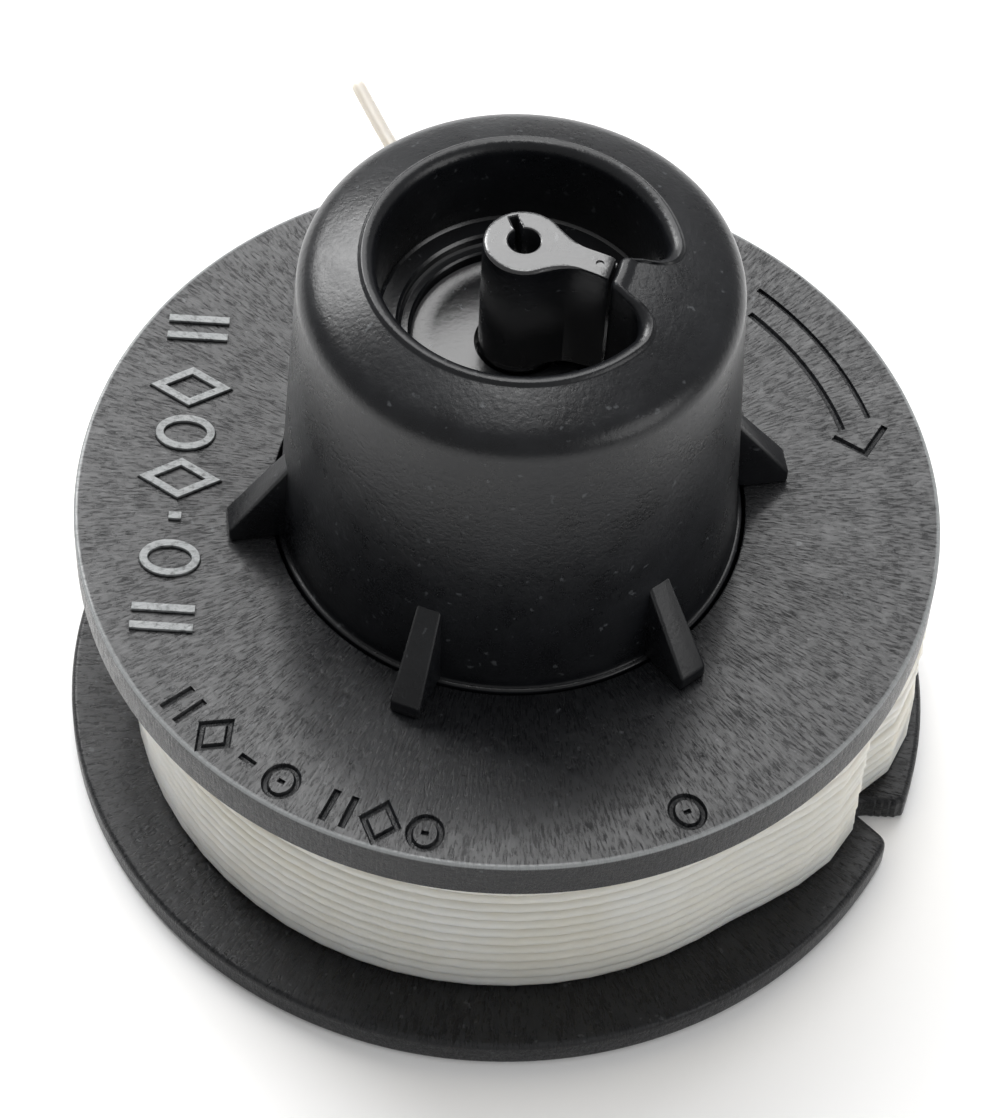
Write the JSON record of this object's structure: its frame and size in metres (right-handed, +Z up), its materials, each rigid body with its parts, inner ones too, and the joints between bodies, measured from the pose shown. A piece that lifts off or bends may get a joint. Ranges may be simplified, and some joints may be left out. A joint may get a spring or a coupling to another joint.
{
  "type": "string reel",
  "caption": "Replacement line spool for a grass trimmer: tall hub with a C-shaped pocket and keyed post, two flanges and a drum wound with thin nylon line.",
  "frame": {"origin": "middle of the lower flange's underside, on the spool's axis", "axes": "+Z up along the spool's axis from the lower flange to the hub's domed top; the web and the rib of the pocket lie 14 degrees from +X towards -Y; the free end of the line leaves towards +Y"},
  "size_m": [0.073, 0.0956, 0.0593],
  "materials": {
    "hub_nylon": "satin black moulded nylon, finely textured",
    "post_nylon": "satin black moulded nylon, slightly greyer on top",
    "flange_nylon": "semi-gloss black moulded nylon with fine radial streaks",
    "drum_nylon": "plain black moulded nylon",
    "trimmer_line": "cream translucent nylon monofilament"
  },
  "bodies": {
    "root": {"hub": "hub_nylon", "centre_post": "post_nylon", "upper_flange": "flange_nylon", "lower_flange": "flange_nylon", "drum": "drum_nylon", "line_winding": "trimmer_line", "line_tail": "trimmer_line", "line_anchor_end": "trimmer_line"}
  },
  "joints": []
}
